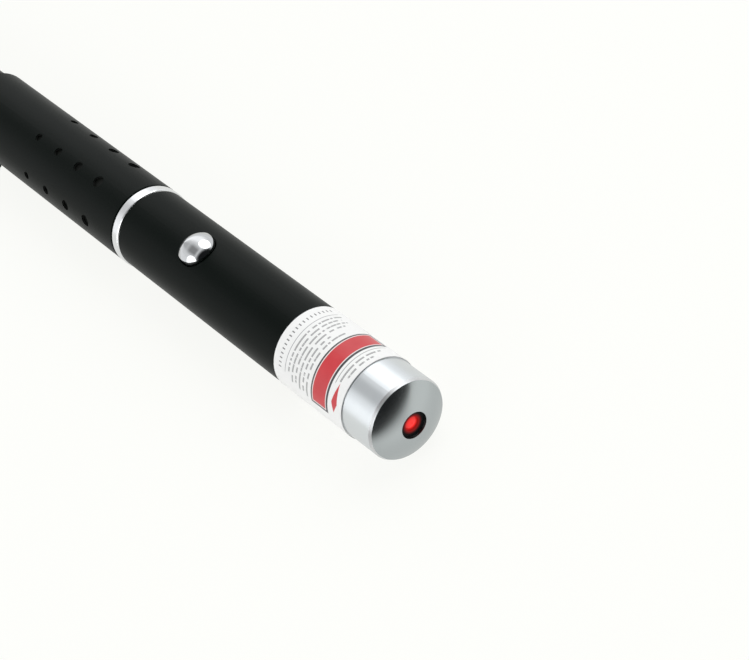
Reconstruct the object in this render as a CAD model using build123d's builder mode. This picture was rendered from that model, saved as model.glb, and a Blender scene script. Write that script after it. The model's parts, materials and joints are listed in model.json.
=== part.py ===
from build123d import *
import math
import os

os.makedirs("parts", exist_ok=True)

# A pen-style laser pointer, lying level on its barrel and its pocket clip. +X runs along the beam,
# out of the nose, and +Z points to the push button. The origin is the centre of the beam outlet, in
# the plane of the nose's front edge. Lengths are in millimetres and angles in degrees.

# Clearances
press_gap = 0.01        # round fits that are pressed, glued or soldered, on the radius
thread_gap = 0.05       # round fits that are screwed, on the radius
running_gap = 0.08      # the button in its hole and the plunger in its switch, on the radius
seat_gap = 0.02         # flat faces of pieces that part when something moves
cell_gap = 0.2          # the cells in their bore, on the radius
overrun = 1.0           # how far a cut runs past the face it starts from
pick_margin = 0.01      # half the width of the slice in which edges are picked

# Outside, from the nose to the tail
cap_length = 8.3
front_barrel_length = 59.5
ring_width = 1.85
rear_main_length = 49.6
tail_cap_length = 2.6

# Standard cells, two in a row, both with their studs to the tail
cell_diameter = 10.5
cell_length = 44.5
stud_diameter = 3.8
stud_height = 0.9
cell_edge = 0.4
wrap_thickness = 0.1
wrap_inset = 0.6

# Walls and steps that carry the outside out from the cells, on the radius
bush_wall = 0.49
front_wall = 0.8
slim_wall = 0.65
cap_step = 0.1                  # the nose cap is this much inside the front barrel
rear_step = 0.2                 # the rear barrel stands this much outside it
washer_step = 0.3               # the clip's washer stands this much outside the slim part
tail_step = 0.1                 # the tail cap stands this much outside the washer

# Nose cap
aperture_diameter = 4.4
aperture_lip = 0.5              # length of the aperture's wall
face_depth = 1.75               # how far the domed face falls back to its rim
cap_rim_chamfer = 0.3
cap_stop_width = 0.75           # ledge at the bottom of the socket
cap_chamber_front = 2.4
cap_socket_front = 3.0

# Outlet hood and its window, pressed into the nose cap from behind
hood_lap = 0.5                  # how far the hood reaches outside the aperture
hood_hole_diameter = 2.4
hood_front_wall = 0.35
hood_flange_thickness = 0.5
window_lap = 0.55               # how far the window reaches outside the hood's hole
window_thickness = 0.7
window_rise = 0.3               # its dome stands this much into the hole

# Laser module
lens_diameter = 5.8
lens_edge = 0.9
lens_crown = 0.8
lens_ledge = 0.55
nut_wall = 0.74
nut_length = 5.0
nut_slot_width = 0.8
nut_slot_depth = 0.6
neck_wall = 1.2
neck_setback = 0.3              # from the bottom of the cap's socket to the neck
nut_setback = 0.3               # from the front of the neck to the nut
skirt_wall = 0.54
skirt_length = 3.58
chamber_step = 0.4              # the spring chamber's wall inside the nut's thread
chamber_gap = 0.15              # between the lens spring and its chamber
spring_chamber_length = 4.2
diode_land_length = 0.6
diode_base_diameter = 5.6
diode_base_length = 1.2
diode_can_diameter = 4.2
diode_can_length = 2.4
diode_can_gap = 0.2
diode_glass_diameter = 1.6
diode_glass_depth = 0.3
diode_ring_length = 1.8
diode_ring_lap = 0.5            # how far the ring reaches outside the diode's base
diode_ring_wall = 1.1

# Leads and driver board
lead_diameter = 0.45
lead_length = 6.5
lead_circle_diameter = 2.54
lead_angles = (0, 180, 270)     # two leads lie on the board and one runs under it
board_thickness = 0.8
board_front_setback = 2.4       # from the diode's base to the board's front edge
board_ledge = 0.5               # how far each edge of the board lies on the carrier
carrier_wall = 1.2
carrier_gap = 0.05

# Push button and tactile switch
button_ahead = 17.2             # from the front barrel's back end to the middle of the button
button_diameter = 5.9
button_shank_rise = 0.25        # straight side above the barrel
button_dome_height = 1.45
button_hole_chamfer = 0.2
flange_lap = 0.55               # how far the flange reaches outside the shank
flange_thickness = 0.65
flange_gap = 0.1                # between the flange and the bore above it
switch_width = 6.0
switch_height = 3.5
switch_corner = 0.5
switch_room = 0.52              # from the switch's cover to the spring seat
switch_cover_thickness = 0.25
cover_tab_width = 1.6
cover_tab_length = 1.2
plunger_diameter = 3.4
plunger_depth = 1.2             # below the switch's cover
button_travel = 0.3
leg_width = 0.7
leg_thickness = 0.2
leg_foot = 0.9
leg_rise = 1.3
leg_spacing = 4.5

# Parts on the driver board: length, width and height, then places from the middle line and as
# shares of the room between the switch and the ends of the leads
transistor_length = 2.9
transistor_width = 1.3
transistor_height = 1.0
transistor_lift = 0.1
transistor_share = 0.6
transistor_aside = 1.6
transistor_leg_width = 0.4
transistor_leg_reach = 0.55
transistor_leg_thickness = 0.15
resistor_length = 2.0
resistor_width = 1.25
resistor_height = 0.5
resistor_share = 0.34             # to the middle of the row
resistor_pitch = 4.2
resistor_count = 3
resistor_aside = 2.6
capacitor_length = 3.5
capacitor_width = 2.8
capacitor_height = 1.9
capacitor_share = 0.28
capacitor_aside = 1.9
capacitor_edge = 0.2

# Battery contacts
seat_thickness = 1.4
peg_diameter = 3.2
peg_length = 1.2
plate_inset = 0.6               # the plate's edge inside the seat's edge
plate_thickness = 0.3
plate_tab_width = 2.2
plate_tab_reach = 0.6           # over the board
plate_tab_aside = 3.4

# Springs
battery_wire = 0.7
battery_spring_length = 4.3
battery_coil_inset = 1.1        # from the plate's edge to the middle of the wire
battery_tip_diameter = 4.8      # across the middle of the wire
battery_spring_turns = 3
lens_wire = 0.4
lens_spring_turns = 3
wire_sides = 8                  # flats that stand for the round of a wire
steps_per_turn = 4
gap_samples_per_turn = 36

# Middle joint
bush_front_length = 7.5
bush_rear_length = 7.0
bush_lead_in = 0.25
socket_relief = 0.2
ring_edge_radius = 0.3

# Rear barrel
barrel_edge = 0.2
shoulder_edge = 0.6
pit_rows = 6
pit_columns = 4
pit_pitch = 6.2
first_pit_back = 8.15           # from the barrel's front edge
first_pit_diameter = 2.0
pit_taper = 0.22                # each next pit is this much narrower
pit_depth = 0.5
pit_roll = -7.5                 # angle from the button's side to the nearest row

# Tail
plug_length = 1.8
plug_wall = 0.99
contact_inset = 0.4             # the contact's edge inside the spigot's edge
contact_thickness = 0.4
tail_edge = 0.6

# Pocket clip
clip_thickness = 0.8
clip_width = 5.2
clip_tip_width = 3.8
clip_gap = 1.85                 # between the strip and the line of the thick barrel, at the tail
clip_fall = 0.35                # how much lower the strip lies where it starts to dip
clip_lap = 6.7                  # from the barrel's shoulder to the tip
clip_dip_back = 6.0             # from the tip to where the strip dips
clip_touch_back = 2.6           # from the tip to where it touches the barrel
clip_tip_lift = 1.1
clip_bend_radius = 1.4
clip_tip_radius = 1.5

# Label
label_length = 16.6
label_thickness = 0.08
label_front_gap = 0.02

# Radii that several pieces share, out from the cells
cell_radius = cell_diameter / 2
cell_bore_radius = cell_radius + cell_gap
bush_radius = cell_bore_radius + bush_wall
bore_radius = bush_radius + press_gap
front_radius = bore_radius + front_wall
cap_radius = front_radius - cap_step
rear_radius = front_radius + rear_step
slim_radius = cell_bore_radius + slim_wall
washer_radius = slim_radius + washer_step
tail_radius = washer_radius + tail_step
plug_bore_radius = cell_bore_radius - press_gap - plug_wall
spigot_radius = plug_bore_radius - thread_gap
carrier_radius = bore_radius - carrier_gap
plate_radius = carrier_radius - plate_inset

# Radii of the laser module, out from the lens and the diode
aperture_radius = aperture_diameter / 2
hood_seat_radius = aperture_radius + hood_lap
hood_hole_radius = hood_hole_diameter / 2
window_seat_radius = hood_hole_radius + window_lap
lens_radius = lens_diameter / 2
nut_radius = lens_radius + press_gap + nut_wall
nut_bore_radius = lens_radius - lens_ledge
neck_radius = nut_radius + thread_gap + neck_wall
cap_chamber_radius = neck_radius + thread_gap - cap_stop_width
chamber_radius = nut_radius - chamber_step
diode_base_radius = diode_base_diameter / 2
diode_ring_radius = diode_base_radius + diode_ring_lap
diode_window_radius = diode_can_diameter / 2 + diode_can_gap

# Stations along X that several pieces share
cap_back = -cap_length
barrel_back = cap_back - front_barrel_length
ring_back = barrel_back - ring_width
rear_front = ring_back - seat_gap
shoulder = rear_front - rear_main_length

neck_front = -cap_socket_front - neck_setback
nut_front = neck_front - nut_setback
nut_back = nut_front - nut_length
chamber_front = nut_back - seat_gap
chamber_back = chamber_front - spring_chamber_length
diode_front = chamber_back - diode_land_length
diode_back = diode_front - diode_base_length
diode_ring_back = diode_back - diode_ring_length
housing_back = diode_ring_back - skirt_length
board_front = diode_back - board_front_setback

button_x = barrel_back + button_ahead
switch_reach = switch_width / 2 + switch_cover_thickness
seat_front = button_x - switch_reach - switch_room
seat_back = seat_front - seat_thickness
plate_back = seat_back - plate_thickness
front_cell_front = plate_back - seat_gap - battery_spring_length - seat_gap
rear_cell_front = front_cell_front - cell_length - seat_gap
contact_front = rear_cell_front - cell_length - seat_gap
spigot_front = contact_front - contact_thickness
tube_back = spigot_front - seat_gap - plug_length
washer_back = tube_back - clip_thickness
tail_end = washer_back - tail_cap_length

# Sizes and heights of the board, the switch and the button
carrier_hollow_radius = carrier_radius - carrier_wall
board_width = 2 * (carrier_hollow_radius + board_ledge)
lead_radius = lead_diameter / 2
board_top = -lead_radius - press_gap
board_bottom = board_top - board_thickness
switch_top = board_top + switch_height
button_radius = button_diameter / 2
flange_radius = button_radius + flange_lap
flange_ceiling = math.sqrt(bore_radius**2 - flange_radius**2) - flange_gap
plunger_top = flange_ceiling - flange_thickness
dome_base = front_radius + button_shank_rise
dome_top = dome_base + button_dome_height

# The pen rests on the rear barrel and on the outer edge of the clip: this angle, from straight
# down towards -Y, puts that edge level with the barrel's lowest line.
clip_height = rear_radius + clip_gap + clip_thickness / 2
clip_outer = clip_height + clip_thickness / 2
clip_corner = math.hypot(clip_outer, clip_width / 2)
clip_angle = math.degrees(math.acos(rear_radius / clip_corner) + math.atan(clip_width / 2 / clip_outer))
clip_out = Vector(0, -math.sin(math.radians(clip_angle)), -math.cos(math.radians(clip_angle)))
clip_across = Vector(0, math.cos(math.radians(clip_angle)), -math.sin(math.radians(clip_angle)))


def turn(points, mode=Mode.ADD):
    """Revolve the closed outline of (station, radius) points about the pen's axis."""
    with BuildSketch(Plane.XZ) as outline:
        with BuildLine():
            Polyline(*points, close=True)
        make_face()
    revolve(outline.sketch, axis=Axis.X, mode=mode)


def turn_tube(front, back, outer, bore, mode=Mode.ADD):
    """A plain round tube, or a disc where the bore is zero."""
    turn([(front, bore), (front, outer), (back, outer), (back, bore)], mode)


def circles_at(part, station):
    """The round edges of a turned piece that lie at one station."""
    return part.edges().filter_by(GeomType.CIRCLE).filter_by_position(
        Axis.X, station - pick_margin, station + pick_margin
    )


def widest(edges):
    return edges.sort_by(SortBy.RADIUS)[-1]


def finish(part, name):
    part.label = name
    export_step(part, f"parts/{name}.step")


def coil_path(start, end, start_radius, end_radius, turns):
    """The middle line of a coil about the pen's axis, as pairs of tangent arcs."""
    steps = turns * steps_per_turn
    knots = []
    for step in range(steps + 1):
        share = step / steps
        angle = 2 * math.pi * turns * share
        radius = start_radius + (end_radius - start_radius) * share
        spread = (end_radius - start_radius) / (2 * math.pi * turns)
        advance = (end - start) / (2 * math.pi * turns)
        place = Vector(start + (end - start) * share, radius * math.sin(angle), radius * math.cos(angle))
        heading = Vector(
            advance,
            radius * math.cos(angle) + spread * math.sin(angle),
            -radius * math.sin(angle) + spread * math.cos(angle),
        ).normalized()
        knots.append((place, heading))
    with BuildLine() as path:
        for (place, heading), (next_place, next_heading) in zip(knots, knots[1:]):
            chord = next_place - place
            both = heading + next_heading
            a = 2 * (1 - heading.dot(next_heading))
            b = 2 * chord.dot(both)
            reach = (math.sqrt(b * b + 4 * a * chord.dot(chord)) - b) / (2 * a)
            first = place + heading * reach
            last = next_place - next_heading * reach
            middle = (first + last) * 0.5
            TangentArc(place, middle, tangent=heading)
            TangentArc(middle, next_place, tangent=(last - first).normalized())
    return path.wires()[0]


def least_gap(path, wire, turns):
    """The least clear distance from a coil to itself, half a turn or more along."""
    count = turns * gap_samples_per_turn
    points = [path.position_at(i / count) for i in range(count + 1)]
    apart = gap_samples_per_turn // 2
    return min(
        (points[j] - points[i]).length
        for i in range(count + 1)
        for j in range(i + apart, count + 1)
    ) - wire


# Nose cap: a shallow dome round the beam outlet, screwed onto the neck of the laser module
face_centre = (face_depth**2 + cap_radius**2 - aperture_radius**2) / (2 * face_depth)
face_radius = math.hypot(face_centre, aperture_radius)
with BuildPart() as nose_cap:
    with BuildSketch(Plane.XZ):
        with BuildLine():
            Polyline(
                (-face_depth, cap_radius),
                (cap_back, cap_radius),
                (cap_back, neck_radius + thread_gap),
                (-cap_socket_front, neck_radius + thread_gap),
                (-cap_socket_front, cap_chamber_radius),
                (-cap_chamber_front, cap_chamber_radius),
                (-cap_chamber_front, hood_seat_radius),
                (-aperture_lip, hood_seat_radius),
                (-aperture_lip, aperture_radius),
                (0, aperture_radius),
            )
            RadiusArc((0, aperture_radius), (-face_depth, cap_radius), -face_radius)
        make_face()
    revolve(axis=Axis.X)
    chamfer(widest(circles_at(nose_cap, -face_depth)), cap_rim_chamfer)
finish(nose_cap.part, "nose_cap")

# Outlet hood: a black ring behind the lip of the beam outlet, held by its flange
hood_front = -aperture_lip - press_gap
window_front = hood_front - hood_front_wall
flange_front = -cap_chamber_front - press_gap
flange_back = flange_front - hood_flange_thickness
with BuildPart() as outlet_hood:
    turn([
        (hood_front, hood_hole_radius),
        (hood_front, hood_seat_radius - press_gap),
        (flange_front, hood_seat_radius - press_gap),
        (flange_front, cap_chamber_radius - press_gap),
        (flange_back, cap_chamber_radius - press_gap),
        (flange_back, window_seat_radius),
        (window_front, window_seat_radius),
        (window_front, hood_hole_radius),
    ])
finish(outlet_hood.part, "outlet_hood")

# Outlet window: a small clear disc whose domed middle fills the hood's hole
window_rim = window_front - press_gap
window_tip = window_rim + window_rise
window_back = window_rim - window_thickness
window_radius = window_seat_radius - press_gap
dome_edge_radius = hood_hole_radius - press_gap
dome_sphere_radius = (dome_edge_radius**2 + window_rise**2) / (2 * window_rise)
with BuildPart() as outlet_window:
    with BuildSketch(Plane.XZ):
        with BuildLine():
            Polyline(
                (window_tip, 0),
                (window_back, 0),
                (window_back, window_radius),
                (window_rim, window_radius),
                (window_rim, dome_edge_radius),
            )
            RadiusArc((window_rim, dome_edge_radius), (window_tip, 0), dome_sphere_radius)
        make_face()
    revolve(axis=Axis.X)
finish(outlet_window.part, "outlet_window")

# Module housing: a brass body that carries the lens, its spring and the diode on one axis
housing_radius = bore_radius - press_gap
with BuildPart() as module_housing:
    turn([
        (neck_front, nut_radius + thread_gap),
        (neck_front, neck_radius),
        (cap_back, neck_radius),
        (cap_back, housing_radius),
        (housing_back, housing_radius),
        (housing_back, housing_radius - skirt_wall),
        (diode_ring_back, housing_radius - skirt_wall),
        (diode_ring_back, diode_ring_radius + press_gap),
        (diode_back, diode_ring_radius + press_gap),
        (diode_back, diode_base_radius + press_gap),
        (diode_front, diode_base_radius + press_gap),
        (diode_front, diode_window_radius),
        (chamber_back, diode_window_radius),
        (chamber_back, chamber_radius),
        (chamber_front, chamber_radius),
        (chamber_front, nut_radius + thread_gap),
    ])
finish(module_housing.part, "module_housing")

# Lens nut: screws in against the lens spring, turned by the slot across its front
lens_seat = nut_front - lens_crown - lens_edge
with BuildPart() as lens_nut:
    turn([
        (nut_front, lens_radius + press_gap),
        (nut_front, nut_radius),
        (nut_back, nut_radius),
        (nut_back, nut_bore_radius),
        (lens_seat, nut_bore_radius),
        (lens_seat, lens_radius + press_gap),
    ])
    with BuildSketch(Plane.YZ.offset(nut_front)):
        Rectangle(2 * nut_radius + overrun, nut_slot_width)
    extrude(amount=-nut_slot_depth, mode=Mode.SUBTRACT)
finish(lens_nut.part, "lens_nut")

# Collimating lens: flat at the back, crowned towards the beam outlet
with BuildPart() as collimating_lens:
    with BuildSketch(Plane.XZ):
        with BuildLine():
            rim_front = lens_seat + lens_edge
            Polyline((nut_front, 0), (lens_seat, 0), (lens_seat, lens_radius), (rim_front, lens_radius))
            crown_radius = (lens_radius**2 + lens_crown**2) / (2 * lens_crown)
            RadiusArc((rim_front, lens_radius), (nut_front, 0), crown_radius)
        make_face()
    revolve(axis=Axis.X)
finish(collimating_lens.part, "collimating_lens")

# Lens spring: holds the lens nut still in its thread
lens_coil_radius = chamber_radius - chamber_gap - lens_wire / 2
lens_coil = coil_path(
    nut_back - seat_gap - lens_wire / 2,
    chamber_back + seat_gap + lens_wire / 2,
    lens_coil_radius,
    lens_coil_radius,
    lens_spring_turns,
)
with BuildPart() as lens_spring:
    with BuildSketch(Plane(origin=lens_coil.position_at(0), z_dir=lens_coil.tangent_at(0))):
        RegularPolygon(lens_wire / 2, wire_sides)
    sweep(path=lens_coil)
finish(lens_spring.part, "lens_spring")
print(f"lens_spring least gap {least_gap(lens_coil, lens_wire, lens_spring_turns):.2f} mm")

# Laser diode: a metal can with a glass window on a thicker base
with BuildPart() as laser_diode:
    turn([
        (diode_back, 0),
        (diode_back, diode_base_radius),
        (diode_front, diode_base_radius),
        (diode_front, diode_can_diameter / 2),
        (diode_front + diode_can_length, diode_can_diameter / 2),
        (diode_front + diode_can_length, diode_glass_diameter / 2),
        (diode_front + diode_can_length - diode_glass_depth, diode_glass_diameter / 2),
        (diode_front + diode_can_length - diode_glass_depth, 0),
    ])
finish(laser_diode.part, "laser_diode")

# Diode leads, soldered to both sides of the driver board
with BuildPart() as diode_leads:
    with BuildSketch(Plane.YZ.offset(diode_back)):
        for angle in lead_angles:
            with PolarLocations(lead_circle_diameter / 2, 1, start_angle=angle):
                Circle(lead_radius)
    extrude(amount=-lead_length)
finish(diode_leads.part, "diode_leads")

# Diode ring: pressed in behind the diode's base
with BuildPart() as diode_ring:
    turn_tube(diode_back, diode_ring_back, diode_ring_radius, diode_ring_radius - diode_ring_wall)
finish(diode_ring.part, "diode_ring")

# Driver board, with a bare edge at each side for the carrier
with BuildPart() as driver_board:
    with BuildSketch(Plane.XY.offset(board_top)):
        with Locations(((board_front + seat_front) / 2, 0)):
            Rectangle(board_front - seat_front, board_width)
    extrude(amount=-board_thickness)
finish(driver_board.part, "driver_board")

# Drive transistor: a small moulded block on three legs
room_back = button_x + switch_reach
board_room = diode_back - lead_length - room_back
transistor_x = room_back + transistor_share * board_room
with BuildPart() as drive_transistor:
    with BuildSketch(Plane.XY.offset(board_top + transistor_lift)):
        with Locations((transistor_x, transistor_aside)):
            Rectangle(transistor_length, transistor_width)
    extrude(amount=transistor_height)
    leg_half = transistor_length / 2 - transistor_leg_width
    for along, side in ((-leg_half, 1), (leg_half, 1), (0, -1)):
        with BuildSketch(Plane.XY.offset(board_top)):
            with Locations((transistor_x + along, transistor_aside + side * transistor_width / 2)):
                Rectangle(transistor_leg_width, 2 * transistor_leg_reach)
        extrude(amount=transistor_leg_thickness)
finish(drive_transistor.part, "drive_transistor")

# Resistors, one group of separate chips
with BuildPart() as board_resistors:
    with BuildSketch(Plane.XY.offset(board_top)):
        with Locations((room_back + resistor_share * board_room, -resistor_aside)):
            with GridLocations(resistor_pitch, 0, resistor_count, 1):
                Rectangle(resistor_length, resistor_width)
    extrude(amount=resistor_height)
finish(board_resistors.part, "board_resistors")

# Smoothing capacitor
with BuildPart() as board_capacitor:
    with BuildSketch(Plane.XY.offset(board_top)):
        with Locations((room_back + capacitor_share * board_room, capacitor_aside)):
            Rectangle(capacitor_length, capacitor_width)
    extrude(amount=capacitor_height)
    chamfer(board_capacitor.faces().sort_by(Axis.Z)[-1].edges(), capacitor_edge)
finish(board_capacitor.part, "board_capacitor")

# Board carrier: a half-round tray that keeps the board off the metal barrel
with BuildPart() as board_carrier:
    with BuildSketch(Plane.YZ.offset(housing_back)):
        Circle(carrier_radius)
        Circle(carrier_hollow_radius, mode=Mode.SUBTRACT)
        with Locations((0, board_top)):
            Rectangle(2 * front_radius, front_radius, align=(Align.CENTER, Align.MIN), mode=Mode.SUBTRACT)
        with Locations((0, board_bottom)):
            Rectangle(board_width + 2 * press_gap, board_thickness + overrun,
                      align=(Align.CENTER, Align.MIN), mode=Mode.SUBTRACT)
    extrude(amount=seat_front - housing_back)
finish(board_carrier.part, "board_carrier")

# Tactile switch: a moulded body with a round well for its plunger
with BuildPart() as switch_body:
    with BuildSketch(Plane.XY.offset(board_top)):
        with Locations((button_x, 0)):
            Rectangle(switch_width, switch_width)
        chamfer(vertices(), switch_corner)
    extrude(amount=switch_height - switch_cover_thickness)
    with Locations((button_x, 0, switch_top)):
        Hole(plunger_diameter / 2 + running_gap, depth=plunger_depth + button_travel + seat_gap)
finish(switch_body.part, "switch_body")

# Switch cover: a steel plate folded down over two sides of the body
with BuildPart() as switch_cover:
    with BuildSketch(Plane.XY.offset(switch_top)):
        with Locations((button_x, 0)):
            Rectangle(switch_width, switch_width)
        chamfer(vertices(), switch_corner)
        with Locations((button_x, 0)):
            Circle(plunger_diameter / 2 + running_gap, mode=Mode.SUBTRACT)
    extrude(amount=-switch_cover_thickness)
    with BuildSketch(Plane.XY.offset(switch_top)):
        tab_middle = (switch_width + switch_cover_thickness) / 2
        with Locations((button_x - tab_middle, 0), (button_x + tab_middle, 0)):
            Rectangle(switch_cover_thickness, cover_tab_width)
    extrude(amount=-cover_tab_length)
finish(switch_cover.part, "switch_cover")

# Switch legs: four bent strips that stand on the board
with BuildPart() as switch_legs:
    for along in (-leg_spacing / 2, leg_spacing / 2):
        for side in (-1, 1):
            wall = side * switch_width / 2
            skin = side * (switch_width / 2 + leg_thickness)
            toe = side * (switch_width / 2 + leg_foot)
            with BuildSketch(Plane.YZ.offset(button_x + along)):
                with BuildLine():
                    Polyline(
                        (wall, board_top),
                        (toe, board_top),
                        (toe, board_top + leg_thickness),
                        (skin, board_top + leg_thickness),
                        (skin, board_top + leg_rise),
                        (wall, board_top + leg_rise),
                        close=True,
                    )
                make_face()
            extrude(amount=leg_width / 2, both=True)
finish(switch_legs.part, "switch_legs")

# Switch plunger: stands out of the cover and carries the push button
with BuildPart() as switch_plunger:
    with BuildSketch(Plane.XY.offset(plunger_top)):
        with Locations((button_x, 0)):
            Circle(plunger_diameter / 2)
    extrude(amount=switch_top - plunger_depth - plunger_top)
finish(switch_plunger.part, "switch_plunger")

# Push button: a dome on a short shank, kept in the barrel by its flange
with BuildPart() as push_button:
    with BuildSketch(Plane.XZ) as button_profile:
        with BuildLine():
            Polyline(
                (button_x, dome_top),
                (button_x, plunger_top),
                (button_x + flange_radius, plunger_top),
                (button_x + flange_radius, flange_ceiling),
                (button_x + button_radius, flange_ceiling),
                (button_x + button_radius, dome_base),
            )
            dome_radius = (button_radius**2 + button_dome_height**2) / (2 * button_dome_height)
            RadiusArc((button_x + button_radius, dome_base), (button_x, dome_top), -dome_radius)
        make_face()
    revolve(button_profile.sketch, axis=Axis((button_x, 0, 0), (0, 0, 1)))
finish(push_button.part, "push_button")

# Spring seat: a moulded disc with a peg for the contact plate and the battery spring
tab_bottom = board_top + press_gap
with BuildPart() as spring_seat:
    turn_tube(seat_front, seat_back, carrier_radius, 0)
    turn_tube(seat_back, seat_back - peg_length, peg_diameter / 2, 0)
    with BuildSketch(Plane.YZ.offset(seat_front)):
        with Locations((plate_tab_aside, tab_bottom - seat_gap)):
            Rectangle(plate_tab_width + 2 * seat_gap, plate_thickness + 2 * seat_gap,
                      align=(Align.CENTER, Align.MIN))
    extrude(amount=-seat_thickness - overrun, mode=Mode.SUBTRACT)
finish(spring_seat.part, "spring_seat")

# Contact plate: a washer under the spring, with a tab that runs through the seat onto the board
with BuildPart() as contact_plate:
    turn_tube(seat_back, plate_back, plate_radius, peg_diameter / 2 + thread_gap)
    with BuildSketch(Plane.YZ.offset(plate_back)):
        with Locations((plate_tab_aside, tab_bottom)):
            Rectangle(plate_tab_width, plate_thickness, align=(Align.CENTER, Align.MIN))
    extrude(amount=plate_thickness + seat_thickness + plate_tab_reach)
finish(contact_plate.part, "contact_plate")

# Battery spring: a cone of wire between the contact plate and the front cell
battery_coil = coil_path(
    plate_back - press_gap - battery_wire / 2,
    front_cell_front + seat_gap + battery_wire / 2,
    plate_radius - battery_coil_inset,
    battery_tip_diameter / 2,
    battery_spring_turns,
)
with BuildPart() as battery_spring:
    with BuildSketch(Plane(origin=battery_coil.position_at(0), z_dir=battery_coil.tangent_at(0))):
        RegularPolygon(battery_wire / 2, wire_sides)
    sweep(path=battery_coil)
finish(battery_spring.part, "battery_spring")
print(f"battery_spring least gap {least_gap(battery_coil, battery_wire, battery_spring_turns):.2f} mm")

# Front barrel, with the hole that the push button stands in
with BuildPart() as front_barrel:
    turn_tube(cap_back, barrel_back, front_radius, bore_radius)
    with Locations((button_x, 0, front_radius + overrun)):
        Hole(button_radius + running_gap, depth=front_radius + overrun)
    hole_edges = front_barrel.edges().filter_by_position(
        Axis.X, button_x - button_diameter, button_x + button_diameter
    )
    hole_rims = hole_edges.filter_by(GeomType.LINE, reverse=True)
    chamfer(hole_rims.group_by(Axis.Z)[-1], button_hole_chamfer)
finish(front_barrel.part, "front_barrel")

# Label: a thin sleeve glued round the front of the barrel
with BuildPart() as label_sleeve:
    label_front = cap_back - label_front_gap
    label_back = label_front - label_length
    turn_tube(label_front, label_back, front_radius + label_thickness, front_radius + press_gap)
finish(label_sleeve.part, "label_sleeve")

# Joint bush: pressed into the front barrel, with the thread that the rear barrel screws onto
bush_back = ring_back - bush_rear_length
with BuildPart() as joint_bush:
    turn_tube(barrel_back + bush_front_length, bush_back, bush_radius, cell_bore_radius)
    chamfer(widest(circles_at(joint_bush, bush_back)), bush_lead_in)
finish(joint_bush.part, "joint_bush")

# Centre ring: trim between the two barrels
with BuildPart() as centre_ring:
    turn_tube(barrel_back, ring_back, rear_radius, bush_radius + press_gap)
    fillet(widest(circles_at(centre_ring, barrel_back)), ring_edge_radius)
    fillet(widest(circles_at(centre_ring, ring_back)), ring_edge_radius)
finish(centre_ring.part, "centre_ring")

# Rear barrel: a socket for the bush, a bore for the cells, a slimmer tail under the clip, and rows
# of shallow round pits that grow smaller towards the tail
socket_back = bush_back - socket_relief
with BuildPart() as rear_barrel:
    turn([
        (rear_front, bush_radius + thread_gap),
        (rear_front, rear_radius),
        (shoulder, rear_radius),
        (shoulder, slim_radius),
        (tube_back, slim_radius),
        (tube_back, cell_bore_radius),
        (socket_back, cell_bore_radius),
        (socket_back, bush_radius + thread_gap),
    ])
    chamfer(widest(circles_at(rear_barrel, shoulder)), shoulder_edge)
    chamfer(widest(circles_at(rear_barrel, rear_front)), barrel_edge)
    for column in range(pit_columns):
        pit_x = rear_front - first_pit_back - column * pit_pitch
        for row in range(pit_rows):
            roll = math.radians(pit_roll + row * 360 / pit_rows)
            outward = Vector(0, math.sin(roll), math.cos(roll))
            start = Vector(pit_x, 0, 0) + outward * (rear_radius + overrun)
            with Locations(Plane(origin=start, x_dir=(1, 0, 0), z_dir=outward)):
                Hole((first_pit_diameter - column * pit_taper) / 2, depth=pit_depth + overrun)
finish(rear_barrel.part, "rear_barrel")

# Cells: a steel can with its stud to the tail, and a printed plastic wrap
can_radius = cell_radius - wrap_thickness
for name, front in (("front_cell", front_cell_front), ("rear_cell", rear_cell_front)):
    back = front - cell_length
    can_back = back + stud_height
    with BuildPart() as cell:
        turn([
            (back, 0),
            (back, stud_diameter / 2),
            (can_back, stud_diameter / 2),
            (can_back, can_radius),
            (front, can_radius),
            (front, 0),
        ])
        chamfer(widest(circles_at(cell, can_back)), cell_edge)
        chamfer(widest(circles_at(cell, front)), cell_edge)
    finish(cell.part, name)
    with BuildPart() as cell_wrap:
        turn_tube(front - wrap_inset, can_back + wrap_inset, cell_radius, can_radius + press_gap)
    finish(cell_wrap.part, f"{name}_wrap")

# Tail contact: a disc on the end of the tail cap, where the rear cell's stud touches
with BuildPart() as tail_contact:
    turn_tube(contact_front, spigot_front, spigot_radius - contact_inset, 0)
finish(tail_contact.part, "tail_contact")

# Tail plug: a threaded ring pressed into the end of the rear barrel
with BuildPart() as tail_plug:
    turn_tube(tube_back + plug_length, tube_back, cell_bore_radius - press_gap, plug_bore_radius)
finish(tail_plug.part, "tail_plug")

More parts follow.
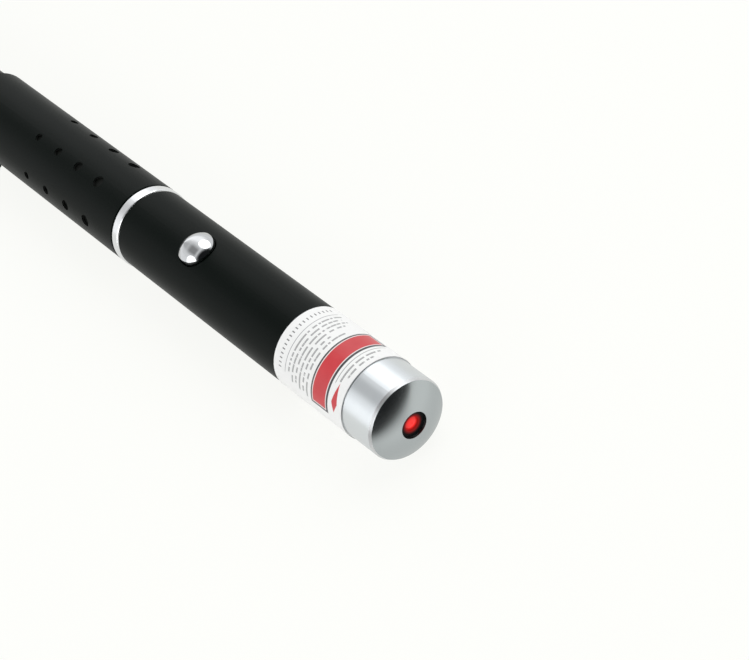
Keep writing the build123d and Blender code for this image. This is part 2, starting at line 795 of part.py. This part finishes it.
# Pocket clip: one strip of spring steel that rises from a washer under the tail cap, runs forward
# over the slim part of the barrel, dips to touch the thick part and turns up at the tip
strip_x = (tube_back + washer_back) / 2
tip_x = shoulder + clip_lap
touch_height = rear_radius + press_gap + clip_thickness / 2
with BuildPart() as pocket_clip:
    with BuildSketch(Plane(origin=(0, 0, 0), x_dir=(1, 0, 0), z_dir=clip_across)):
        with BuildLine():
            FilletPolyline(
                (strip_x, washer_radius - clip_thickness),
                (strip_x, clip_height),
                (tip_x - clip_dip_back, clip_height - clip_fall),
                (tip_x - clip_touch_back, touch_height),
                (tip_x, touch_height + clip_tip_lift),
                radius=clip_bend_radius,
            )
        trace(line_width=clip_thickness)
    extrude(amount=clip_width / 2, both=True)
    with BuildSketch(Plane(origin=(0, 0, 0), x_dir=(1, 0, 0), z_dir=clip_out)):
        with BuildLine():
            Polyline(
                (washer_back - overrun, -clip_width / 2),
                (strip_x + clip_bend_radius, -clip_width / 2),
                (tip_x + clip_thickness / 2, -clip_tip_width / 2),
                (tip_x + clip_thickness / 2, clip_tip_width / 2),
                (strip_x + clip_bend_radius, clip_width / 2),
                (washer_back - overrun, clip_width / 2),
                close=True,
            )
        make_face()
        fillet(vertices().group_by(Axis.X)[-1], clip_tip_radius)
    extrude(amount=clip_outer + overrun, mode=Mode.INTERSECT)
    turn_tube(tube_back, washer_back, washer_radius, plug_bore_radius)
finish(pocket_clip.part, "pocket_clip")

# Tail cap: a plain cap whose spigot screws into the plug and holds the clip's washer
with BuildPart() as tail_cap:
    turn_tube(washer_back, tail_end, tail_radius, 0)
    turn_tube(spigot_front, washer_back, spigot_radius, 0)
    chamfer(widest(circles_at(tail_cap, tail_end)), tail_edge)
finish(tail_cap.part, "tail_cap")
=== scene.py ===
import json
import math

import bmesh
import bpy
from mathutils import Matrix, Vector


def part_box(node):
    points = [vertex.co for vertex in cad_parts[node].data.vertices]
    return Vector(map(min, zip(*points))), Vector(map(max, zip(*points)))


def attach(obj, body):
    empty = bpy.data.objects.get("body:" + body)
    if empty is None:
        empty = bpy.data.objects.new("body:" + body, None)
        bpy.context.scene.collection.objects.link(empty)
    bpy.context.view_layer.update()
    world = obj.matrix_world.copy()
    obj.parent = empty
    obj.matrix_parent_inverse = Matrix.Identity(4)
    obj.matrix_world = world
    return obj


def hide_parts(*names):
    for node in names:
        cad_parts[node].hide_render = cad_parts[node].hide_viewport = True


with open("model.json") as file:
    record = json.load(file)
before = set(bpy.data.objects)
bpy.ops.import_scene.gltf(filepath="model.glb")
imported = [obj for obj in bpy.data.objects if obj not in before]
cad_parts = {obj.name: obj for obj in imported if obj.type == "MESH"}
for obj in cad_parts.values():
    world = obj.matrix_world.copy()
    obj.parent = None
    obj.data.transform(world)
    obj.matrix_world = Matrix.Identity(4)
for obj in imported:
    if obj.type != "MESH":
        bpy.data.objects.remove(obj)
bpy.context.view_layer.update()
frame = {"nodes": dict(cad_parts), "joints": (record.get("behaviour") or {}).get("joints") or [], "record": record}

# The laser pointer's finishes, thread and studio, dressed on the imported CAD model. Lengths are in
# metres, in the row frame: +X along the beam, +Z to the push button. The materials work in
# millimetres, and in degrees round the pen's axis from +Z towards +Y.
MM = 0.001


def rgb(red, green, blue):
    return (red, green, blue, 1.0)


# Stations and radii, read from the frame
_, NOSE_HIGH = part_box("nose_cap")
LABEL_LOW, LABEL_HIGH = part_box("label_sleeve")
_, FRONT_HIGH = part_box("front_barrel")
REAR_LOW, REAR_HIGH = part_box("rear_barrel")
RING_LOW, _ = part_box("centre_ring")
BUSH_LOW, BUSH_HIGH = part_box("joint_bush")
CELL_LOW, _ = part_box("front_cell")
REAR_CELL_LOW, REAR_CELL_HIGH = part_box("rear_cell")
BOARD_LOW, BOARD_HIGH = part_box("driver_board")
RESISTORS_LOW, RESISTORS_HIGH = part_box("board_resistors")
FLOOR_Z = REAR_LOW.z - 0.01 * MM

# Where finishes change, in millimetres
EDGE_SOFT = 0.02
CHAMFER_BACK = NOSE_HIGH.x / MM - 2.06
FACE_BACK = NOSE_HIGH.x / MM - 1.62
BARE_END = FRONT_HIGH.x / MM - 0.02
PITS_FRONT = RING_LOW.x / MM - 5.0
PITS_BACK = RING_LOW.x / MM - 30.0
PIT_MOUTH = REAR_HIGH.y / MM - 0.12
PIT_FLOOR = REAR_HIGH.y / MM - 0.36
GLOW_HALF = 1.05                        # the radius where the beam's glow has fallen to half
GLOW_SOFT = 1.5

# The label's blank bars: millimetres back from its front edge, first angle, last angle
BARS = (
    (8.3, -74.0, 30.0),
    (9.2, -70.0, 12.0),
    (10.1, -72.0, 44.0),
    (11.0, -66.0, 50.0),
    (11.9, -70.0, 46.0),
    (12.8, -58.0, 52.0),
    (1.05, -16.0, 26.0),
    (1.9, -26.0, 44.0),
)

# Slots that share one kind of finish: low and high tone, and for mouldings their roughness too
WIRES = (
    ("spring_steel", rgb(0.55, 0.56, 0.57), rgb(0.66, 0.67, 0.68)),
    ("nickel", rgb(0.64, 0.62, 0.57), rgb(0.74, 0.72, 0.67)),
    ("tinned_lead", rgb(0.62, 0.62, 0.63), rgb(0.72, 0.72, 0.73)),
    ("cell_can", rgb(0.58, 0.58, 0.58), rgb(0.68, 0.68, 0.67)),
)
MOULDINGS = (
    ("chip_black", rgb(0.022, 0.022, 0.023), rgb(0.04, 0.04, 0.041), 0.45, 0.6),
    ("capacitor_yellow", rgb(0.66, 0.42, 0.06), rgb(0.78, 0.53, 0.10), 0.35, 0.5),
    ("carrier_black", rgb(0.035, 0.035, 0.037), rgb(0.06, 0.06, 0.062), 0.45, 0.62),
    ("plunger_white", rgb(0.74, 0.74, 0.72), rgb(0.84, 0.84, 0.82), 0.35, 0.5),
)

BEAM_RED = rgb(1.0, 0.028, 0.024)
SEEN_WHITE = rgb(0.995, 1.0, 0.97)

# The camera, from a perspective fit of the photograph: its place, its axes and its focal length
IMAGE_WIDTH_PX = 749
FOCAL_PX = 2412.3
SENSOR_MM = 36
CAMERA_PLACE = Vector((218.45, -62.5, 256.5)) * MM
CAMERA_AHEAD = Vector((-0.66537, 0.19768, -0.71986))
CAMERA_UP = Vector((-0.43741, 0.67818, 0.59054))


class Nodes:
    """Short calls that add nodes to one tree. Each value they take is a socket or a constant."""

    def __init__(self, tree):
        self.tree = tree

    def feed(self, socket, value):
        if isinstance(value, bpy.types.NodeSocket):
            self.tree.links.new(value, socket)
        else:
            socket.default_value = value

    def add(self, kind, feeds, **properties):
        """Adds a shader node, sets its properties, and feeds its inputs by name or number."""
        node = self.tree.nodes.new("ShaderNode" + kind)
        for name, value in properties.items():
            setattr(node, name, value)
        for key, value in feeds.items():
            self.feed(node.inputs[key], value)
        return node

    def math(self, operation, a, b=0.0, clamp=False):
        return self.add("Math", {0: a, 1: b}, operation=operation, use_clamp=clamp).outputs[0]

    def product(self, first, *others):
        for other in others:
            first = self.math("MULTIPLY", first, other)
        return first

    def split(self, vector):
        return tuple(self.add("SeparateXYZ", {0: vector}).outputs)

    def angle_of(self, y, z):
        """Angle from +Z towards +Y, in degrees."""
        return self.math("MULTIPLY", self.math("ARCTAN2", y, z), math.degrees(1))

    def fade(self, value, start, end, low=0.0, high=1.0):
        """Goes smoothly from low to high as value goes from start to end."""
        feeds = {"Value": value, "From Min": start, "From Max": end, "To Min": low, "To Max": high}
        return self.add("MapRange", feeds, interpolation_type="SMOOTHSTEP").outputs["Result"]

    def step(self, value, edge, soft):
        """Rises from 0 to 1 as value passes edge, over a width of soft."""
        return self.fade(value, edge - soft / 2, edge + soft / 2)

    def before(self, value, edge, soft):
        """1 until value reaches edge, and 0 past it."""
        return self.math("SUBTRACT", 1.0, self.step(value, edge, soft))

    def band(self, value, low, high, soft):
        """1 between low and high, and 0 outside."""
        rise, fall = self.step(value, low, soft), self.step(value, high, soft)
        return self.math("SUBTRACT", rise, fall, clamp=True)

    def spread(self, share, low, high):
        """Maps 0..1 to low..high."""
        feeds = {"Value": share, "To Min": low, "To Max": high}
        return self.add("MapRange", feeds).outputs["Result"]

    def mix(self, share, a, b):
        """Goes from colour a to colour b."""
        return self.add("Mix", {"Factor": share, "A": a, "B": b}, data_type="RGBA").outputs["Result"]


class Finish(Nodes):
    """A material with a Principled shader, whose node values follow the place in the row frame."""

    def __init__(self, name, **values):
        self.material = bpy.data.materials.new(name)
        self.material.use_nodes = True
        super().__init__(self.material.node_tree)
        self.shader = self.tree.nodes["Principled BSDF"]
        self.set(**values)
        metres = self.add("TexCoord", {}).outputs["Object"]
        scaled = self.add("VectorMath", {0: metres, "Scale": 1 / MM}, operation="SCALE")
        self.place = scaled.outputs[0]
        self.x, self.y, self.z = self.split(self.place)

    def set(self, **values):
        for name, value in values.items():
            self.shader.inputs[name.replace("_", " ")].default_value = value

    def link(self, source, name):
        self.tree.links.new(source, self.shader.inputs[name])

    def radius(self):
        """Distance from the pen's axis."""
        squares = self.math("ADD", self.product(self.y, self.y), self.product(self.z, self.z))
        return self.math("SQRT", squares)

    def noise(self, scale, detail=2.0, roughness=0.5, along=None):
        """Noise over the whole space, or along one value."""
        feeds = {"Scale": scale, "Detail": detail, "Roughness": roughness}
        if along is None:
            return self.add("TexNoise", feeds | {"Vector": self.place}).outputs["Fac"]
        return self.add("TexNoise", feeds | {"W": along}, noise_dimensions="1D").outputs["Fac"]

    def bump(self, height, depth, below=None):
        """Relief of the given depth, laid over the relief below if there is one."""
        feeds = {"Strength": 1.0, "Distance": depth * MM, "Height": height}
        if below is not None:
            feeds["Normal"] = below
        normal = self.add("Bump", feeds).outputs["Normal"]
        self.link(normal, "Normal")
        return normal


def turned(finish, fine, depth, low, high):
    """The fine grooves of a lathe, along the outline and round the axis. Returns their roughness."""
    outline = finish.math("SUBTRACT", finish.radius(), finish.x)
    grooves = finish.noise(fine, detail=3.0, along=outline)
    finish.bump(grooves, depth)
    tangent = finish.add("Tangent", {}, direction_type="RADIAL", axis="X")
    finish.link(tangent.outputs["Tangent"], "Tangent")
    finish.set(Anisotropic_Rotation=0.25)
    return finish.spread(grooves, low, high)


def satin_aluminium():
    """Turned and bead-dulled aluminium, with a duller rim, and a smoother nose face whose darker tone is painted
    shade.
    """
    finish = Finish("satin_aluminium", Metallic=1.0, Anisotropic=0.8)
    side_polish = turned(finish, 5.0, 0.0008, 0.20, 0.30)
    grain = finish.noise(9.0)
    rim = finish.step(finish.x, CHAMFER_BACK, EDGE_SOFT)
    shaded_smooth_face = finish.step(finish.x, FACE_BACK, EDGE_SOFT)
    polish = finish.mix(rim, side_polish, finish.spread(grain, 0.50, 0.60))
    finish.link(finish.mix(shaded_smooth_face, polish, finish.spread(grain, 0.17, 0.23)), "Roughness")
    side_tone = finish.mix(finish.noise(0.35), rgb(0.735, 0.768, 0.79), rgb(0.77, 0.80, 0.815))
    tone = finish.mix(rim, side_tone, rgb(0.80, 0.81, 0.82))
    # Painted shade: the nose face is the same metal as the side, given a darker tone so that it mirrors less.
    finish.link(finish.mix(shaded_smooth_face, tone, rgb(0.468, 0.502, 0.512)), "Base Color")
    return finish.material


def black_paint():
    """Matt black paint with a faint orange peel. The front barrel's faced end is bare."""
    finish = Finish("black_paint", Specular_IOR_Level=0.07)
    peel = finish.bump(finish.noise(3.2), 0.003)
    grain = finish.noise(22.0)
    finish.bump(grain, 0.0010, below=peel)
    patches = finish.noise(0.22, detail=3.0)
    paint = finish.mix(patches, rgb(0.0008, 0.0027, 0.0018), rgb(0.0018, 0.0038, 0.0028))

    # The pits are a lighter grey than the paint round them, and lightest on their walls
    radius = finish.radius()
    pit = finish.product(finish.before(radius, PIT_MOUTH, 0.08),
                         finish.band(finish.x, PITS_BACK, PITS_FRONT, 0.5))
    wall = finish.step(radius, PIT_FLOOR, 0.06)
    grey = finish.mix(wall, rgb(0.008, 0.009, 0.008), rgb(0.024, 0.025, 0.024))
    paint = finish.mix(pit, paint, grey)

    bare = finish.step(finish.x, BARE_END, EDGE_SOFT)
    finish.link(finish.mix(bare, paint, rgb(0.66, 0.67, 0.68)), "Base Color")
    finish.link(bare, "Metallic")
    wear = finish.math("ADD", finish.product(patches, 0.6), finish.product(grain, 0.4))
    finish.link(finish.spread(wear, 0.33, 0.44), "Roughness")
    return finish.material


def chrome(name, low, high, dull_tone, bright_tone):
    finish = Finish(name, Metallic=1.0)
    scuff = finish.noise(1.1, detail=4.0, roughness=0.6)
    finish.link(finish.spread(scuff, low, high), "Roughness")
    finish.link(finish.mix(scuff, dull_tone, bright_tone), "Base Color")
    finish.bump(finish.noise(9.0), 0.0003)
    return finish.material


def turned_chrome():
    """Chrome over a turned face, whose fine rings still show."""
    finish = Finish("turned_chrome", Metallic=1.0, Anisotropic=0.6)
    finish.link(turned(finish, 6.0, 0.0012, 0.10, 0.24), "Roughness")
    haze = finish.noise(0.8, detail=4.0, roughness=0.6)
    finish.link(finish.mix(haze, rgb(0.56, 0.57, 0.58), rgb(0.64, 0.65, 0.655)), "Base Color")
    return finish.material


def brass():
    finish = Finish("brass", Metallic=1.0, Anisotropic=0.4)
    finish.link(turned(finish, 4.0, 0.002, 0.22, 0.34), "Roughness")
    stain = finish.noise(0.5, detail=4.0)
    finish.link(finish.mix(stain, rgb(0.70, 0.51, 0.22), rgb(0.78, 0.60, 0.30)), "Base Color")
    return finish.material


def label_film():
    """White film with a plain red band, blank bars, a row of ticks, and no lettering.

    A station is a distance back from the label's front edge.
    """
    finish = Finish("label_film", Roughness=0.34, Specular_IOR_Level=0.36, Coat_Weight=0.2,
                    Coat_Roughness=0.12)
    back = finish.math("SUBTRACT", LABEL_HIGH.x / MM, finish.x)
    angle = finish.angle_of(finish.y, finish.z)
    dark = rgb(0.045, 0.045, 0.05)

    def rule(station, width, start, end, soft=3.0):
        """A line round the barrel at one station, over a range of angles."""
        across = finish.band(back, station - width / 2, station + width / 2, 0.06)
        return finish.product(across, finish.band(angle, start, end, soft))

    def ticks(station, height, pitch, share, start, end):
        """A row of short lines along the barrel, evenly spaced round it."""
        turns = finish.math("DIVIDE", finish.math("ADD", angle, 360.0), pitch)
        tick = finish.band(finish.math("FRACT", turns), 0.02, share, 0.10)
        return finish.product(tick, rule(station, height, start, end, soft=0.5))

    def bar(station, start, end):
        """A thin rule broken into uneven stretches, as a layout's blank lines are."""
        along = finish.math("ADD", finish.product(angle, 0.17), 31.7 * station)
        stretch = finish.step(finish.noise(1.0, detail=1.0, along=along), 0.43, 0.05)
        strength = finish.spread(finish.noise(5.0, along=along), 0.35, 0.85)
        return finish.product(rule(station, 0.34, start, end), stretch, strength)

    fibre = finish.noise(3.0, detail=3.0)
    tone = finish.mix(fibre, rgb(0.83, 0.83, 0.82), rgb(0.88, 0.88, 0.87))
    for station, start, end in BARS:
        tone = finish.mix(bar(station, start, end), tone, dark)
    tone = finish.mix(rule(13.7, 0.12, -62.0, 52.0), tone, rgb(0.30, 0.30, 0.31))
    tone = finish.mix(finish.product(ticks(15.0, 0.6, 6.0, 0.28, -62.0, 52.0), 0.85), tone, dark)
    tone = finish.mix(finish.product(rule(2.7, 0.14, -30.0, 56.0), 0.6), tone, dark)

    # The band: a dark frame, a thin pale line inside it, and red
    red = finish.mix(finish.noise(0.5), rgb(0.52, 0.026, 0.034), rgb(0.62, 0.046, 0.056))
    tone = finish.mix(rule(5.29, 4.08, -76.5, 63.0, soft=0.8), tone, dark)
    tone = finish.mix(rule(5.35, 3.35, -73.5, 59.5, soft=0.8), tone, rgb(0.82, 0.74, 0.73))
    tone = finish.mix(rule(5.35, 3.0, -72.0, 58.0, soft=0.6), tone, red)

    # A slim red drop beside it, from its blunt end to its point
    swell = finish.math("DIVIDE", finish.math("ADD", angle, 67.0), 13.0)
    taper = finish.math("DIVIDE", finish.math("SUBTRACT", -27.0, angle), 27.0)
    half_width = finish.product(finish.math("MINIMUM", swell, taper), 0.66)
    aside = finish.math("ABSOLUTE", finish.math("SUBTRACT", back, 1.75))
    drop = finish.step(finish.math("SUBTRACT", half_width, aside), 0.0, 0.08)
    tone = finish.mix(drop, tone, red)

    # The film laps over itself underneath, and its back edge is a little grey
    lap = finish.product(finish.band(angle, 171.0, 171.9, 0.4), 0.35)
    tone = finish.mix(lap, tone, rgb(0.35, 0.35, 0.34))
    edge = finish.step(back, (LABEL_HIGH.x - LABEL_LOW.x) / MM - 0.1, 0.1)
    tone = finish.mix(finish.product(edge, 0.3), tone, rgb(0.42, 0.42, 0.42))
    finish.link(tone, "Base Color")
    finish.bump(fibre, 0.0006)
    return finish.material


def painted_beam_glow(finish):
    """The painted glow of the beam round the axis: full in the middle, and gone by the hood's rim."""
    return finish.before(finish.radius(), GLOW_HALF, GLOW_SOFT)


def lit_lens():
    """Clear glass with a painted red glow in its middle, for the diode's light, fading to dark at its edge."""
    finish = Finish("lit_lens", Roughness=0.15, Specular_IOR_Level=0.3,
                    Base_Color=rgb(0.03, 0.001, 0.001), Emission_Color=BEAM_RED)
    shimmer = finish.spread(finish.noise(2.5), 0.94, 1.06)
    # Painted glow: the lens emits red round its middle.
    finish.link(finish.product(painted_beam_glow(finish), shimmer), "Emission Strength")
    return finish.material


def hood_black():
    """Black moulding with a painted red glow round the edge of its hole, where the beam's light would fall."""
    finish = Finish("hood_black", Specular_IOR_Level=0.12, Emission_Color=BEAM_RED)
    grain = finish.noise(10.0)
    finish.link(finish.mix(grain, rgb(0.003, 0.003, 0.003), rgb(0.007, 0.007, 0.007)), "Base Color")
    finish.link(finish.spread(grain, 0.5, 0.65), "Roughness")
    # Painted glow: the hood emits red near its hole, as if lit by the beam.
    finish.link(finish.product(painted_beam_glow(finish), 0.8), "Emission Strength")
    return finish.material


def drawn_wire(name, low_tone, high_tone):
    finish = Finish(name, Metallic=1.0)
    streak = finish.noise(6.0, detail=3.0)
    finish.link(finish.mix(streak, low_tone, high_tone), "Base Color")
    finish.link(finish.spread(streak, 0.2, 0.34), "Roughness")
    finish.bump(streak, 0.001)
    return finish.material


def moulded(name, low_tone, high_tone, low, high):
    finish = Finish(name)
    grain = finish.noise(7.0, detail=3.0)
    finish.link(finish.mix(grain, low_tone, high_tone), "Base Color")
    finish.link(finish.spread(grain, low, high), "Roughness")
    finish.bump(grain, 0.003)
    return finish.material


def board_green():
    """Green resist with copper tracks under it and bare cut edges."""
    finish = Finish("board_green")
    threads = 14.0
    weave = finish.product(finish.math("SINE", finish.product(finish.x, threads)),
                           finish.math("SINE", finish.product(finish.y, threads)))
    tone = finish.mix(finish.spread(weave, 0.4, 0.6), rgb(0.015, 0.13, 0.045), rgb(0.03, 0.20, 0.08))
    for middle in (-3.4, -1.5, 0.4, 3.4):
        track = finish.band(finish.y, middle - 0.22, middle + 0.22, 0.05)
        tone = finish.mix(finish.product(track, 0.6), tone, rgb(0.06, 0.33, 0.12))
    top = finish.step(finish.z, BOARD_HIGH.z / MM - 0.04, 0.02)
    under = finish.before(finish.z, BOARD_LOW.z / MM + 0.04, 0.02)
    faces = finish.math("ADD", top, under, clamp=True)
    finish.link(finish.mix(faces, rgb(0.30, 0.28, 0.14), tone), "Base Color")
    finish.link(finish.spread(faces, 0.75, 0.28), "Roughness")
    return finish.material


def chip_ends():
    """Three black ceramic chips in a row, with tinned ends."""
    finish = Finish("chip_ends")
    chip_length = 2.0
    end_length = 0.09                   # as a share of the pitch
    pitch = (RESISTORS_HIGH.x - RESISTORS_LOW.x) / MM / 2 - chip_length / 2
    along = finish.math("SUBTRACT", finish.x, RESISTORS_LOW.x / MM)
    phase = finish.math("FRACT", finish.math("DIVIDE", along, pitch))
    body = finish.band(phase, end_length, chip_length / pitch - end_length, 0.01)
    finish.link(finish.mix(body, rgb(0.62, 0.62, 0.62), rgb(0.022, 0.022, 0.022)), "Base Color")
    finish.link(finish.math("SUBTRACT", 1.0, body), "Metallic")
    finish.link(finish.spread(finish.noise(8.0, detail=3.0), 0.3, 0.5), "Roughness")
    return finish.material


def cell_film():
    """Shrunk film in two plain colours, with a thin light line between them."""
    finish = Finish("cell_film", Coat_Weight=0.5, Coat_Roughness=0.08)
    wrinkle = finish.noise(1.6, detail=3.0)
    tone = finish.mix(wrinkle, rgb(0.075, 0.18, 0.38), rgb(0.11, 0.23, 0.44))
    for cell in (CELL_LOW, REAR_CELL_LOW):
        back = cell.x / MM
        line = back + 14.0
        tone = finish.mix(finish.band(finish.x, back, line, 0.1), tone, rgb(0.62, 0.63, 0.65))
        tone = finish.mix(finish.band(finish.x, line, line + 0.8, 0.08), tone, rgb(0.80, 0.80, 0.78))
    finish.link(tone, "Base Color")
    finish.link(finish.spread(wrinkle, 0.2, 0.32), "Roughness")
    finish.bump(wrinkle, 0.004)
    return finish.material


def node_materials():
    """Gives every CAD node its finish, by its slot in the record. Returns the finishes by slot."""
    by_slot = {
        "satin_aluminium": satin_aluminium(),
        "black_paint": black_paint(),
        "chrome": chrome("chrome", 0.05, 0.12, rgb(0.56, 0.57, 0.58), rgb(0.62, 0.63, 0.635)),
        "label_paper": label_film(),
        "brass": brass(),
        "lens": lit_lens(),
        "board_green": board_green(),
        "cell_wrap": cell_film(),
    }
    for name, *looks in WIRES:
        by_slot[name] = drawn_wire(name, *looks)
    for name, *looks in MOULDINGS:
        by_slot[name] = moulded(name, *looks)
    by_node = {
        "board_resistors": chip_ends(),
        "outlet_hood": hood_black(),
        "tail_cap": turned_chrome(),
        "centre_ring": chrome("ring_plate", 0.12, 0.22, rgb(0.79, 0.80, 0.81), rgb(0.86, 0.865, 0.87)),
    }
    for entry in frame["record"]["subparts"]:
        node = entry["node"]
        data = frame["nodes"][node].data
        data.materials.clear()
        data.materials.append(by_node.get(node, by_slot[entry["material_slot"]]))
    return by_slot


def add_piece(name, mesh, material, body):
    """Links a mesh as one piece of the object, on its body and with its finish."""
    piece = bpy.data.objects.new(name, mesh)
    bpy.context.scene.collection.objects.link(piece)
    mesh.materials.append(material)
    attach(piece, body)
    return piece


def as_mesh(bm, name):
    mesh = bpy.data.meshes.new(name)
    bm.to_mesh(mesh)
    bm.free()
    return mesh


def lathe(name, columns, radius_at):
    """A closed skin round the X axis, through the stations in columns.

    radius_at(column, turn) gives the radius at a column's number and a turn in radians.
    """
    around = 96
    bm = bmesh.new()
    rings = []
    for index, x in enumerate(columns):
        ring = []
        for step in range(around):
            turn = 2 * math.pi * step / around
            r = radius_at(index, turn)
            ring.append(bm.verts.new((x, r * math.sin(turn), r * math.cos(turn))))
        rings.append(ring)
    for ring, following in zip(rings, rings[1:] + rings[:1]):
        for step in range(around):
            after = (step + 1) % around
            bm.faces.new((ring[step], ring[after], following[after], following[step]))
    bmesh.ops.recalc_face_normals(bm, faces=bm.faces)
    return as_mesh(bm, name)


def threaded_bush(material):
    """The joint bush with its real thread, whose pitch follows the joint's travel and turns."""
    joints = {joint["name"]: joint for joint in frame["joints"]}
    travel = joints["cells_back"]["range_m"][1]
    turns = joints["rear_unscrew"]["range_deg"][1] / 360
    pitch = travel / turns
    crest = BUSH_HIGH.z
    depth = 0.26 * MM
    bore = REAR_CELL_HIGH.z + 0.3 * MM
    thread_front = RING_LOW.x - 0.45 * MM
    lead_in = 0.4 * MM
    flank = 2.2                         # how steeply a ridge rises, in depths over half a pitch
    root = 0.5                          # how far the flanks would reach below the thread's root
    samples = 10
    count = int((thread_front - BUSH_LOW.x) / pitch * samples)
    stations = [BUSH_HIGH.x, RING_LOW.x, thread_front]
    stations += [thread_front + (BUSH_LOW.x - thread_front) * (i + 1) / count for i in range(count)]
    columns = stations + [BUSH_LOW.x, BUSH_HIGH.x]

    def radius_at(index, turn):
        if index >= len(stations):
            return bore
        if index < 2:
            return crest
        if index == 2:
            return crest - depth
        x = stations[index]
        phase = ((thread_front - x) / pitch + turn / (2 * math.pi)) % 1.0
        ridge = min(1.0, max(0.0, flank * (1 - abs(2 * phase - 1)) - root))
        fade = min(1.0, (thread_front - x) / (pitch / 2))
        tip = min(1.0, (x - BUSH_LOW.x) / lead_in)
        return crest - depth + depth * ridge * fade * tip

    piece = add_piece("threaded_bush", lathe("threaded_bush", columns, radius_at), material, "front")
    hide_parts("joint_bush")
    for polygon in piece.data.polygons:
        polygon.use_smooth = True
    piece.data.set_sharp_from_angle(angle=math.radians(35))


def floor_white():
    """White to the camera and in reflections, but it keeps the pen's shadow.

    Metal sees the floor slightly dim behind the nose. Ahead of the nose it sees the floor fade to
    black along a slant towards -Y, where a studio's light ends.
    """
    material = bpy.data.materials.new("floor_white")
    material.use_nodes = True
    nodes = Nodes(material.node_tree)
    nodes.tree.nodes.remove(nodes.tree.nodes["Principled BSDF"])
    path = nodes.add("LightPath", {}).outputs
    seen = nodes.math("MAXIMUM", path["Is Camera Ray"], path["Is Glossy Ray"])
    seen = nodes.math("MAXIMUM", seen, path["Is Transmission Ray"])
    lit = nodes.add("BsdfDiffuse", {"Color": rgb(0.90, 0.90, 0.885)}).outputs[0]
    glow = nodes.add("Emission", {"Color": SEEN_WHITE, "Strength": 1.0}).outputs[0]
    white = nodes.add("MixShader", {"Fac": nodes.product(seen, 0.89), 1: lit, 2: glow}).outputs[0]

    place = nodes.add("TexCoord", {}).outputs["Object"]
    slant = nodes.add("VectorRotate", {"Vector": place, "Angle": math.radians(50)}, rotation_type="Z_AXIS")
    past_light = nodes.fade(nodes.split(slant.outputs[0])[0], 0.008, 0.036)
    ahead = nodes.fade(nodes.split(place)[0], 0.0, 0.012)
    share = nodes.add("Mix", {"Factor": ahead, "A": 0.15, "B": past_light}).outputs["Result"]
    unlit = nodes.product(path["Is Glossy Ray"], share)
    black = nodes.add("BsdfDiffuse", {"Color": rgb(0.02, 0.02, 0.02)}).outputs[0]
    surface = nodes.add("MixShader", {"Fac": unlit, 1: white, 2: black}).outputs[0]
    nodes.feed(nodes.tree.nodes["Material Output"].inputs["Surface"], surface)
    return material


def add_floor():
    bm = bmesh.new()
    bmesh.ops.create_grid(bm, x_segments=1, y_segments=1, size=3.0)
    mesh = as_mesh(bm, "floor")
    mesh.materials.append(floor_white())
    floor = bpy.data.objects.new("floor", mesh)
    floor.location = (0, 0, FLOOR_Z)
    bpy.context.scene.collection.objects.link(floor)


def add_tent():
    """A white tent all round, with a gap overhead and a dark end, for the metal to mirror."""
    world = bpy.data.worlds.new("studio")
    world.use_nodes = True
    bpy.context.scene.world = world
    nodes = Nodes(world.node_tree)
    x, y, z = nodes.split(nodes.add("TexCoord", {}).outputs["Generated"])
    roll = nodes.angle_of(y, z)

    # It is brightest behind the tail, in a wide strip on the +Y side and a faint one on the -Y side
    wide = nodes.product(nodes.fade(roll, 12.0, 34.0), nodes.fade(roll, 50.0, 74.0, 1.0, 0.0))
    faint = nodes.product(nodes.fade(roll, -104.0, -82.0), nodes.fade(roll, -64.0, -48.0, 0.22, 0.0))
    strips = nodes.product(nodes.math("ADD", wide, faint), nodes.fade(x, -0.45, -0.20, 1.0, 0.0))
    tone = nodes.mix(strips, rgb(0.95, 0.96, 0.97), rgb(1.48, 1.49, 1.50))

    # A gap runs along the pen overhead, darker towards the zenith. The end ahead of the nose is dark.
    aside = nodes.math("ABSOLUTE", nodes.math("ADD", roll, 15.0))
    gap = nodes.fade(aside, 8.0, 32.0, 1.0, 0.0)
    depth = nodes.math("ADD", nodes.fade(x, -0.75, -0.30, 0.25, 0.66),
                       nodes.fade(x, -0.80, -0.64, 0.11, 0.0))
    depth = nodes.product(depth, nodes.fade(x, 0.15, 0.45, 1.0, 0.0))
    dark = nodes.math("MAXIMUM", nodes.product(gap, depth), nodes.fade(x, 0.30, 0.60))
    tone = nodes.mix(dark, tone, rgb(0.012, 0.013, 0.014))

    to_camera = nodes.add("LightPath", {}).outputs["Is Camera Ray"]
    background = nodes.tree.nodes["Background"]
    nodes.feed(background.inputs["Color"], nodes.mix(to_camera, tone, SEEN_WHITE))


def add_softbox(name, direction, radiance):
    """A round lamp that looks at the pen's middle and has the given radiance."""
    distance = 0.60
    radius = 0.27
    middle = Vector((-0.05, 0, 0))
    data = bpy.data.lights.new(name, "AREA")
    data.shape = "DISK"
    data.size = 2 * radius
    data.energy = radiance * math.pi * math.pi * radius**2
    lamp = bpy.data.objects.new(name, data)
    outward = Vector(direction).normalized()
    aim = outward.to_track_quat("Z", "Y").to_matrix().to_4x4()
    lamp.matrix_world = Matrix.Translation(middle + outward * distance) @ aim
    bpy.context.scene.collection.objects.link(lamp)


def add_camera():
    data = bpy.data.cameras.new("camera")
    data.sensor_width = SENSOR_MM
    data.lens = FOCAL_PX / IMAGE_WIDTH_PX * SENSOR_MM
    data.clip_start = 0.01
    data.clip_end = 20
    camera = bpy.data.objects.new("camera", data)
    ahead = CAMERA_AHEAD.normalized()
    right = ahead.cross(CAMERA_UP).normalized()
    up = right.cross(ahead)
    turn = Matrix((right, up, -ahead)).transposed().to_4x4()
    camera.matrix_world = Matrix.Translation(CAMERA_PLACE) @ turn
    bpy.context.scene.collection.objects.link(camera)
    bpy.context.scene.camera = camera


materials = node_materials()
threaded_bush(materials["brass"])
add_floor()
add_tent()
add_softbox("round_softbox", (0.07, 0.65, 0.76), 2.15)
add_softbox("side_softbox", (0.12, -0.88, 0.45), 1.7)
add_camera()
bpy.context.scene.view_settings.view_transform = "Standard"
